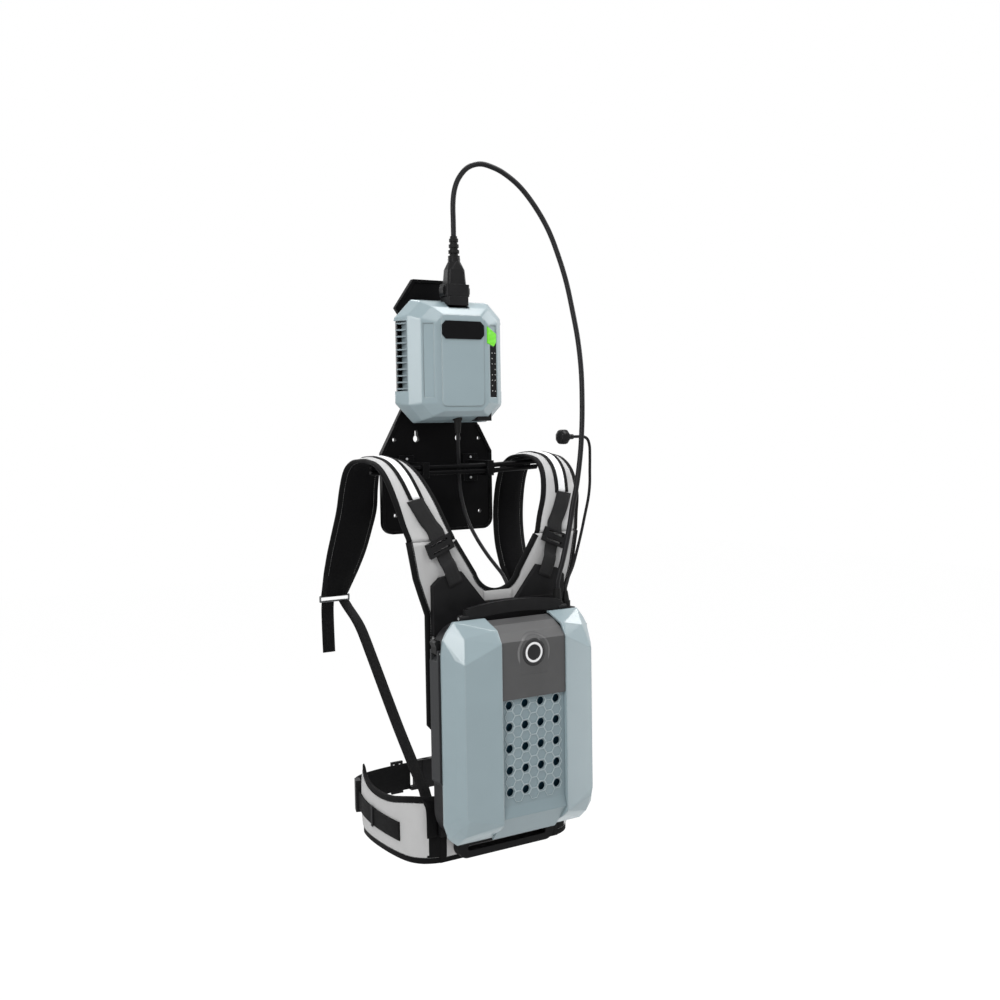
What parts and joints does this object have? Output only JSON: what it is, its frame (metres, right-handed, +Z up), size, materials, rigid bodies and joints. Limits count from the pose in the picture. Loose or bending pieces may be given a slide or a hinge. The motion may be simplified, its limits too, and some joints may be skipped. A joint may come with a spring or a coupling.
{
  "type": "backpack battery pack on a charging stand",
  "caption": "Backpack battery in a padded carrying harness, hung by its straps on the bar of a holder plate with a charger and a charging cord.",
  "frame": {"origin": "centre of the rectangle of four fixing holes, on the back face of the holder plate", "axes": "+X to the right seen from the front, +Y from the pack towards the plate and out of its back, +Z up"},
  "size_m": [0.383, 0.443, 1.1455],
  "materials": {
    "plate_black": "satin black powder coat",
    "bar_black": "gloss black paint on steel tube",
    "screw_steel": "plain zinc-plated steel",
    "shell_blue": "satin grey-blue moulded plastic",
    "shell_dark": "fine-grained dark grey plastic",
    "panel_charcoal": "semi-gloss charcoal plastic",
    "gloss_black": "polished black plastic",
    "lens_green": "translucent bright green lens",
    "board_green": "circuit board",
    "core_steel": "laminated core and windings",
    "plastic_black": "fine-grained black plastic",
    "rubber_black": "smooth black rubber",
    "ring_chrome": "bright chrome",
    "cells": "sleeved metal cells",
    "fabric_grey": "light grey woven fabric with black binding",
    "fabric_black": "black padded mesh fabric",
    "webbing_black": "black woven webbing",
    "wire_steel": "bright steel wire"
  },
  "bodies": {
    "base": {"holder_plate": "plate_black", "hanger_bar": "bar_black", "bar_brackets": "plate_black", "plate_screws": "screw_steel", "charger_front_shell": "shell_blue", "charger_rear_shell": "shell_dark", "charger_fins": "shell_blue", "charger_badge": "gloss_black", "charger_lamp_lens": "lens_green", "charger_display_strip": "gloss_black", "charger_board": "board_green", "charger_transformer": "core_steel", "charger_socket": "plastic_black", "mains_inlet": "plastic_black", "lead_outlet": "rubber_black", "charge_plug": "plastic_black", "plug_boot": "rubber_black", "charge_cord": "rubber_black", "cord_gland": "rubber_black", "accessory_lead": "rubber_black", "lead_knob": "plastic_black", "charger_lead": "rubber_black", "lead_inlet": "plastic_black", "battery_front_cover": "shell_blue", "grille_panel": "shell_blue", "control_panel": "panel_charcoal", "button_ring": "ring_chrome", "button_switch": "plastic_black", "battery_rear_case": "shell_dark", "cell_blocks": "cells", "battery_board": "board_green", "battery_screws": "screw_steel", "handle_brackets": "plastic_black", "pivot_pins": "screw_steel", "carrier_frame": "plastic_black", "side_rails": "shell_dark", "bottom_foot": "shell_dark", "harness_back": "fabric_grey", "back_pad": "fabric_black", "lumbar_pad": "fabric_black", "shoulder_strap_left": "fabric_grey", "shoulder_strap_right": "fabric_grey", "lifter_webbing": "webbing_black", "ladder_locks": "plastic_black", "lower_webbing": "webbing_black", "strap_rings": "wire_steel", "belt_wing_left": "fabric_grey", "belt_wing_right": "fabric_grey", "belt_webbing": "webbing_black", "belt_sliders": "plastic_black", "buckle_socket": "plastic_black", "buckle_plug": "plastic_black"},
    "power_button": {"power_button": "panel_charcoal"},
    "carry_handle": {"carry_handle": "plastic_black"},
    "latch_lever_left": {"latch_lever_left": "plastic_black"},
    "latch_lever_right": {"latch_lever_right": "plastic_black"},
    "plug_latch_left": {"plug_latch_left": "plastic_black"},
    "plug_latch_right": {"plug_latch_right": "plastic_black"},
    "buckle_arm_left": {"buckle_arm_left": "plastic_black"},
    "buckle_arm_right": {"buckle_arm_right": "plastic_black"}
  },
  "joints": [
    {"name": "power_button_press", "type": "slide", "parent": "base", "child": "power_button", "axis": [0, 1, 0], "range_m": [0, 0.0012], "stiffness_N_per_m": 800, "springref_m": -0.001},
    {"name": "carry_handle_pivot", "type": "hinge", "parent": "base", "child": "carry_handle", "pos_m": [0, -0.241, -0.212], "axis": [1, 0, 0], "range_deg": [0, 35]},
    {"name": "latch_lever_left_pivot", "type": "hinge", "parent": "base", "child": "latch_lever_left", "pos_m": [-0.1392, -0.234, -0.262], "axis": [0, -1, 0], "range_deg": [0, 35]},
    {"name": "latch_lever_right_pivot", "type": "hinge", "parent": "base", "child": "latch_lever_right", "pos_m": [0.1392, -0.234, -0.262], "axis": [0, 1, 0], "range_deg": [0, 35]},
    {"name": "plug_latch_left_pivot", "type": "hinge", "parent": "base", "child": "plug_latch_left", "pos_m": [-0.0212, -0.075, 0.3218], "axis": [0, -1, 0], "range_deg": [0, 5], "stiffness_Nm_per_rad": 0.3, "springref_deg": -2.86},
    {"name": "plug_latch_right_pivot", "type": "hinge", "parent": "base", "child": "plug_latch_right", "pos_m": [0.0212, -0.075, 0.3218], "axis": [0, 1, 0], "range_deg": [0, 5], "stiffness_Nm_per_rad": 0.3, "springref_deg": -2.86},
    {"name": "buckle_arm_left_pivot", "type": "hinge", "parent": "base", "child": "buckle_arm_left", "pos_m": [0.016, 0.11, -0.5765], "axis": [0, -1, 0], "range_deg": [0, 8], "stiffness_Nm_per_rad": 0.3, "springref_deg": -2.86},
    {"name": "buckle_arm_right_pivot", "type": "hinge", "parent": "base", "child": "buckle_arm_right", "pos_m": [0.016, 0.11, -0.5455], "axis": [0, 1, 0], "range_deg": [0, 8], "stiffness_Nm_per_rad": 0.3, "springref_deg": -2.86}
  ],
  "couplings": [
    {"joint": "plug_latch_right_pivot", "follows": "plug_latch_left_pivot", "ratio": 1},
    {"joint": "buckle_arm_right_pivot", "follows": "buckle_arm_left_pivot", "ratio": 1}
  ]
}
